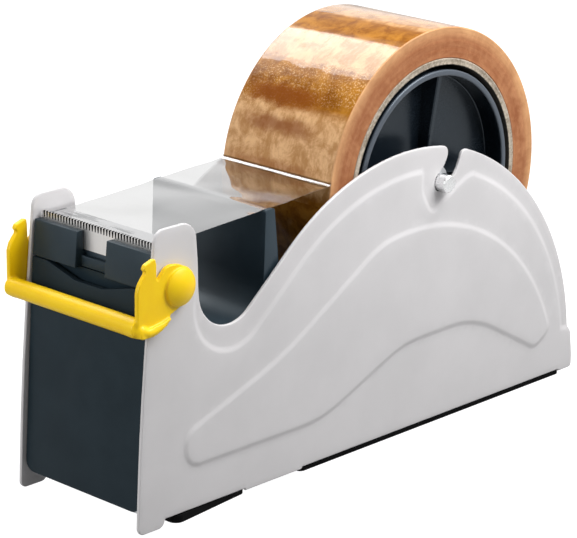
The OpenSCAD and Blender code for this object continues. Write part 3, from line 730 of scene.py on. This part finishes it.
def sheet_points(ring, hole):
    """Points for the sheet's face: its ring, its hole, rows along the folds and a grid between them"""
    rows = []
    for line in folds:
        line = resampled(line, 1.3)
        rows += [set_in(line, fold_w * (k / 6 - 0.5)) for k in range(7)]
    rows = np.concatenate(rows)
    step, beside_fold, beside_edge, cell = 2.0, 2.2, 0.5, 0.45
    ys = np.arange(front_y, rear_y, step)
    zs = np.arange(toe_z, plate_high[2], step * 0.866)
    grid = np.array([(y + step / 2 * (k % 2), z) for k, z in enumerate(zs) for y in ys])
    for line in folds:
        grid = grid[abs(inside_by(grid, line)) > beside_fold]
    loose = np.concatenate([rows, grid])
    loose = loose[(inside_by(loose, ring) > beside_edge) & (inside_by(loose, hole) < -beside_edge)]
    cells = {}
    for p in loose:
        cells.setdefault((round(p[0] / cell), round(p[1] / cell)), p)
    return np.concatenate([ring, hole, np.array(list(cells.values()))])


def pressed_plate():
    """The sheet as a shell: outer face, rounded edges and the inner face that follows it"""
    edge = resampled(plate_outline(), 1.2)
    hole = np.array(arc(pivot, pivot_hole_r, 0, 360, 48)[:-1])
    ring = set_in(edge, edge_r)
    flat = sheet_points(ring, hole)
    n, m = len(ring), len(hole)
    loops = [(i, (i + 1) % n) for i in range(n)] + [(n + i, n + (i + 1) % m) for i in range(m)]
    found, _, faces, origin, _, _ = delaunay_2d_cdt([Vector(p) for p in flat], loops, [list(range(n))], 1, 1e-5)
    found = np.array([tuple(p) for p in found])
    middle = np.array([found[list(f)].mean(0) for f in faces])
    keep = (inside_by(middle, ring) > 0) & (np.linalg.norm(middle - pivot, axis=1) > pivot_hole_r - 0.005)
    faces = [list(f) for f, k in zip(faces, keep) if k]
    first = {o: i for i, os in enumerate(origin) for o in os}
    ring_ids = [first[i] for i in range(n)]
    hole_ids = [first[n + i] for i in range(m)]

    outer_x = rim_face_x + pressed_height(found)
    count = len(found)
    points = [(x, *p) for x, p in zip(outer_x, found)] + [(x - sheet_t, *p) for x, p in zip(outer_x, found)]
    shell = faces + [[i + count for i in reversed(f)] for f in faces]

    # Rounded edge, from the outer face's ring down to the inner face's ring
    last = ring_ids
    turns = [20, 45, 70, 90, 90, 110, 135, 160]
    for k, turn in enumerate(turns):
        out, down = math.sin(math.radians(turn)), math.cos(math.radians(turn))
        drop = edge_r * (1 - down) if k < 4 else sheet_t - edge_r * (1 + down)
        start = len(points)
        place = ring + (edge - ring) * out
        points += [(outer_x[ring_ids[i]] - drop, *place[i]) for i in range(n)]
        here = list(range(start, start + n))
        shell += [[last[i], last[(i + 1) % n], here[(i + 1) % n], here[i]] for i in range(n)]
        last = here
    inner = [i + count for i in ring_ids]
    shell += [[last[i], last[(i + 1) % n], inner[(i + 1) % n], inner[i]] for i in range(n)]
    shell += [[hole_ids[i], hole_ids[(i + 1) % m], hole_ids[(i + 1) % m] + count, hole_ids[i] + count]
              for i in range(m)]
    return points, shell


plate_shell = pressed_plate()
dress(new_piece("right_plate", *plate_shell), "frame", grey_paint, "grey_paint", "right_side_plate")
dress(new_piece("left_plate", *mirrored(plate_shell)), "frame", grey_paint, "grey_paint", "left_side_plate")

# Mouldings, pan and pads: the nodes with rounded edges
for node, width, finish, slot in (
        ("front_panel", 0.5, navy, "dark_plastic"), ("tape_tray", 0.45, tray_navy, "dark_plastic"),
        ("blade_holder", 0.25, tab_navy, "dark_plastic"), ("base_plate", 0.3, zinc, "zinc_steel"),
        ("front_pad", 0.2, rubber, "black_rubber"), ("rear_pad", 0.2, rubber, "black_rubber")):
    dress(softened(node, width), "frame", finish, slot, node)

# Nodes that keep their shape
for node in ("hub_screws", "axle_clips", "tray_screws", "panel_screws"):
    finish_node(node, zinc)
for node in ("guard_pivot_right", "guard_pivot_left"):
    finish_node(node, bright_steel)
finish_node("cutter_blade", blade_steel)


# Guard: the moulding's own form with a round bead that carries the bar into each cheek
def guard_bead():
    """The bar's end, round the corner and back along the cheek's lower edge, with its radius at each place"""
    bar_y, bar_z, bar_r = pivot[0] - 15.6, pivot[1] - 9.7, 3.0
    route = [(24, 0, 0, bar_r), (27, 0, -0.3, 2.9), (28.6, 0.7, -1.1, 2.2), (29.2, 2.5, -1.6, 1.6),
             (29.4, 5, -1.5, 1.4), (29.4, 7, -1, 1.3), (29.4, 9.4, -0.2, 1.05), (29.4, 10.8, 0.7, 0.7)]
    return swept([(x, bar_y + back, bar_z + up) for x, back, up, _ in route], [r for *_, r in route])


def guard_piece():
    source = nodes["safety_guard"].data
    own = [tuple(v.co / MM) for v in source.vertices], [list(p.vertices) for p in source.polygons]
    bead = guard_bead()
    piece = new_piece("guard", *joined(own, bead, mirrored(bead)))
    return moulded(piece, 0.28, 4)


dress(guard_piece(), "guard", yellow, "yellow_plastic", "safety_guard")

# Hub: drum, web, boss and ribs of each half, with the drum's rim rounded
web_x = half_tape - 7.5
boss_r = 6.5
bore_r = axle_r + 0.05
rib_turn, rib_half, rib_chamfer, rib_fall = 86, 1.05, 0.35, 3
post_turns, post_out, post_r, post_bore_r = (60, 150, 240), 20, 3.6, 1.52


def hub_turned():
    """Drum, web and boss; the drum's rim is rounded"""
    drum = rounded([(0.02, hub_r - hub_wall), (0.02, hub_r), (half_tape, hub_r, 0.6),
                    (half_tape, hub_r - hub_wall, 0.6), (web_x, hub_r - hub_wall, 0.5),
                    (web_x, boss_r, 0.5), (half_tape, boss_r, 0.6), (half_tape, bore_r, 0.4), (0.02, bore_r),
                    (0.02, boss_r), (web_x - hub_wall, boss_r), (web_x - hub_wall, hub_r - hub_wall)], 15)
    return lathe(drum, axle, 192)


def radial(turn):
    """Turns (x, out, aside) into a place round the axle"""
    u = polar((0, 0), 1, turn)
    return lambda x, out, aside: (x, axle[0] + out * u[0] - aside * u[1], axle[1] + out * u[1] + aside * u[0])


def hub_rib(turn):
    """A radial rib whose chamfered crest falls towards the boss"""
    place = radial(turn)
    low, top, flat = web_x - 0.6, half_tape - 0.8, rib_half - rib_chamfer
    ring = [(-rib_half, rib_chamfer), (-flat, 0), (flat, 0), (rib_half, rib_chamfer)]
    points = []
    for out, crest in ((boss_r - 0.6, top - rib_fall), (hub_r - hub_wall + 0.5, top)):
        points += [place(low, out, -rib_half)]
        points += [place(crest - drop, out, aside) for aside, drop in ring]
        points += [place(low, out, rib_half)]
    return points, prism_faces(len(ring) + 2)


def hub_grip(turn):
    """A lengthways rib on the drum that holds the core"""
    place = radial(turn)
    low, high = hub_r - 0.3, core_bore_r - 0.05
    outline = [(low, -rib_half), (high, -rib_half), (high, rib_half), (low, rib_half)]
    points = [place(x, out, aside) for x in (0.1, half_tape - 4) for out, aside in outline]
    return points, prism_faces(len(outline))


def hub_post(turn):
    """A hollow post behind the web for a screw"""
    start, end = 0.05, web_x - 1
    profile = [(start, post_bore_r), (start, post_r), (end, post_r), (end, post_bore_r)]
    return lathe(profile, polar(axle, post_out, turn), 32)


hub_shell = joined(hub_turned(), *[hub_rib(rib_turn + 90 * k) for k in range(4)],
                   *[hub_grip(45 * k) for k in range(8)], *[hub_post(rib_turn + a) for a in post_turns])
dress(new_piece("hub_right", *hub_shell), "roll", hub_navy, "hub_plastic", "hub_right_half")
dress(new_piece("hub_left", *mirrored(hub_shell)), "roll", hub_navy, "hub_plastic", "hub_left_half")

# Axle, with grooves for the clips and rounded ends
axle_half = axle_high[0]
clip_x, clip_t, groove_r = half_tape + 0.15, 0.8, axle_r - 0.5
half_axle = [(clip_x, axle_r), (clip_x, groove_r), (clip_x + clip_t, groove_r), (clip_x + clip_t, axle_r),
             (axle_half - 0.55, axle_r, 0.3), (axle_half, axle_r - 0.55, 0.3), (axle_half, 0.02)]
axle_profile = rounded([(-p[0], *p[1:]) for p in reversed(half_axle)] + half_axle, 15)
dress(new_piece("axle_pin", *lathe(axle_profile, axle, 64)),
      "axle", bright_steel, "bright_steel", "hub_axle")


# Core and roll: turned rings whose sides show the wound edges
def wound_ring(inner, outer, uneven, edge_r, pitch):
    """Profile of a wound ring, its side faces a little uneven from turn to turn"""
    rs = np.arange(inner + 0.5, outer - 0.5, pitch)
    face = [(half_tape - uneven * (0.5 + noise.noise(Vector((r * 1.7, 3.1, 0)))), r) for r in rs]
    corners = [(half_tape, inner, edge_r)] + face + [(half_tape, outer, edge_r)]
    return rounded([(-p[0], *p[1:]) for p in reversed(corners)] + corners, 20)


roll_shell = lathe(wound_ring(core_r + 0.01, roll_r, 0.16, 0.35, 0.6), axle, 256)
core_shell = lathe(wound_ring(core_bore_r, core_r - 0.02, 0.2, 0.2, 0.35), axle, 192)
dress(new_piece("roll_of_tape", *roll_shell), "roll", tape, "wound_tape", "tape_roll")
dress(new_piece("board_core", *core_shell), "roll", board, "cardboard", "cardboard_core")


# Film strip: from the peel line over the fin to the platform, with a tight bend where it leaves the roll
film_t, film_wave = 0.07, 0.55
film_on_fin, film_on_platform = tray_high[2] + 0.12, 88.52
fin_front_y, fin_back_y = tray_high[1] - 7.6, tray_high[1] - 3.8
platform_y = tray_low[1] + 9.7


def film_route():
    """(y, z) points from the roll to the platform's front edge"""
    start, foot = (polar(axle, roll_r + 0.2, peel) for peel in (170, 170.6))
    bend = rounded([start, (*(foot + (-0.05, -0.1)), 0.1), (*(foot + (-1.1, -0.6)), 0.4),
                    (fin_back_y - 0.4, film_on_fin)], 12)
    return bend + [(fin_front_y + 0.6, film_on_fin), (platform_y - 1.2, film_on_platform),
                   (strip_low[1], film_on_platform)]


def film_shell():
    """The film along its route, with slack waves where nothing holds it"""
    line = film_route()
    route = np.vstack([resampled(line, 0.8, closed=False), line[-1]])
    across = np.linspace(-half_tape, half_tape, 41)
    ahead = np.gradient(route, axis=0)
    up = np.stack([-ahead[:, 1], ahead[:, 0]], 1)
    up /= np.linalg.norm(up, axis=1)[:, None]
    up *= np.where(up[:, 1:] < 0, -1, 1)
    y = route[:, 0]
    slack = smoothstep(0, 7, abs(y - (fin_front_y + fin_back_y) / 2)) * smoothstep(0, 8, y - platform_y + 0.7)
    slack *= smoothstep(0, 6, strip_high[1] - y)
    points = []
    for thick in (0, film_t):
        for i, p in enumerate(route):
            for x in across:
                wave = noise.noise(Vector((x * 0.05, p[0] * 0.045, 1.7))) * film_wave * slack[i]
                points.append((x, *(p + up[i] * (thick + wave))))
    n, m = len(route), len(across)
    top = [[n * m + i * m + k for i, k in ((r, c), (r, c + 1), (r + 1, c + 1), (r + 1, c))]
           for r in range(n - 1) for c in range(m - 1)]
    low = [[i - n * m for i in reversed(f)] for f in top]
    border = ([(0, c) for c in range(m)] + [(r, m - 1) for r in range(1, n)]
              + [(n - 1, c) for c in range(m - 2, -1, -1)] + [(r, 0) for r in range(n - 2, 0, -1)])
    ids = [r * m + c for r, c in border]
    k = len(ids)
    walls = [[ids[i], ids[(i + 1) % k], ids[(i + 1) % k] + n * m, ids[i] + n * m] for i in range(k)]
    return points, top + low + walls


dress(new_piece("film_strip", *film_shell()), "frame", film, "clear_film", "tape_strip")


# Floor, world, lights and camera
def views(place):
    """Whether a ray looks straight from the camera, and whether it comes by a mirror or through the film"""
    rays = place.node("ShaderNodeLightPath").socket.node
    kinds = "Camera", "Glossy", "Transmission"
    straight, mirror, through = (Wire(rays.outputs[f"Is {kind} Ray"]) for kind in kinds)
    return straight, mirror.most(through)


def floor():
    """A plain pale floor that looks white to the camera and keeps the shadow"""
    mesh = bpy.data.meshes.new("floor")
    size, z = 6, -0.0002
    corners = [(-size, -size, z), (size, -size, z), (size, size, z), (-size, size, z)]
    mesh.from_pydata(corners, [], [(0, 1, 2, 3)])
    piece = bpy.data.objects.new("floor", mesh)
    bpy.context.scene.collection.objects.link(piece)
    material, shader, place = new_finish("pale_floor")
    straight, mirror = views(place)
    glow = (straight + mirror * 0.5).tint((0, 0, 0), (1, 1, 1))
    feed(shader, {"Base Color": (0.22, 0.22, 0.22), "Roughness": 0.9, "Specular IOR Level": 0.1,
                  "Emission Color": glow, "Emission Strength": 1.0})
    mesh.materials.append(material)


def world():
    """Soft grey light, with white to see behind the object and in mirrors, duller overhead"""
    sky = bpy.data.worlds.new("studio")
    sky.use_nodes = True
    tree = sky.node_tree
    place = Wire(tree.nodes.new("ShaderNodeTexCoord").outputs["Generated"])
    straight, mirror = views(place)
    looks = place.axes()[2].between(0.35, 0.75).tint((1, 1, 1), (0.3, 0.3, 0.3))
    colour = (straight + mirror).tint((0.235, 0.235, 0.238), looks)
    feed(tree.nodes["Background"], {"Color": colour, "Strength": 1.0})
    bpy.context.scene.world = sky


def softbox(name, place, target, width, height, watts):
    lamp = bpy.data.lights.new(name, "AREA")
    lamp.shape = "RECTANGLE"
    lamp.size, lamp.size_y, lamp.energy = width, height, watts
    piece = bpy.data.objects.new(name, lamp)
    piece.location = place
    piece.rotation_euler = (Vector(target) - Vector(place)).to_track_quat("-Z", "Y").to_euler()
    bpy.context.scene.collection.objects.link(piece)


def camera():
    """The photograph's view: bearing, height and roll in degrees, focal length for a 36 mm wide picture"""
    place, az, el, roll = (0.569334, -0.610420, 0.321826), 43.576, 17.715, 0.706
    lens = bpy.data.cameras.new("view")
    lens.sensor_fit, lens.sensor_width, lens.lens = "HORIZONTAL", 36, 166.87
    a, e, r = (math.radians(v) for v in (az, el, roll))
    back = Vector((math.sin(a) * math.cos(e), -math.cos(a) * math.cos(e), math.sin(e)))
    right = Vector((0, 0, 1)).cross(back).normalized()
    up = back.cross(right)
    right, up = right * math.cos(r) + up * math.sin(r), up * math.cos(r) - right * math.sin(r)
    piece = bpy.data.objects.new("view", lens)
    piece.matrix_world = Matrix.Translation(place) @ Matrix((right, up, back)).transposed().to_4x4()
    bpy.context.scene.collection.objects.link(piece)
    bpy.context.scene.camera = piece


floor()
world()
softbox("left_box", (-0.75, 0.093, 0.89), (0, 0.03, 0.12), 0.68, 0.7, 7)
softbox("key_box", (0.22, 0.12, 0.4), (0.02, 0, 0.06), 0.3, 0.3, 2.8)
softbox("front_box", (-0.25, -1.3, 0.5), (0, 0, 0.06), 0.7, 0.5, 9)
camera()
bpy.context.scene.view_settings.view_transform = "Standard"
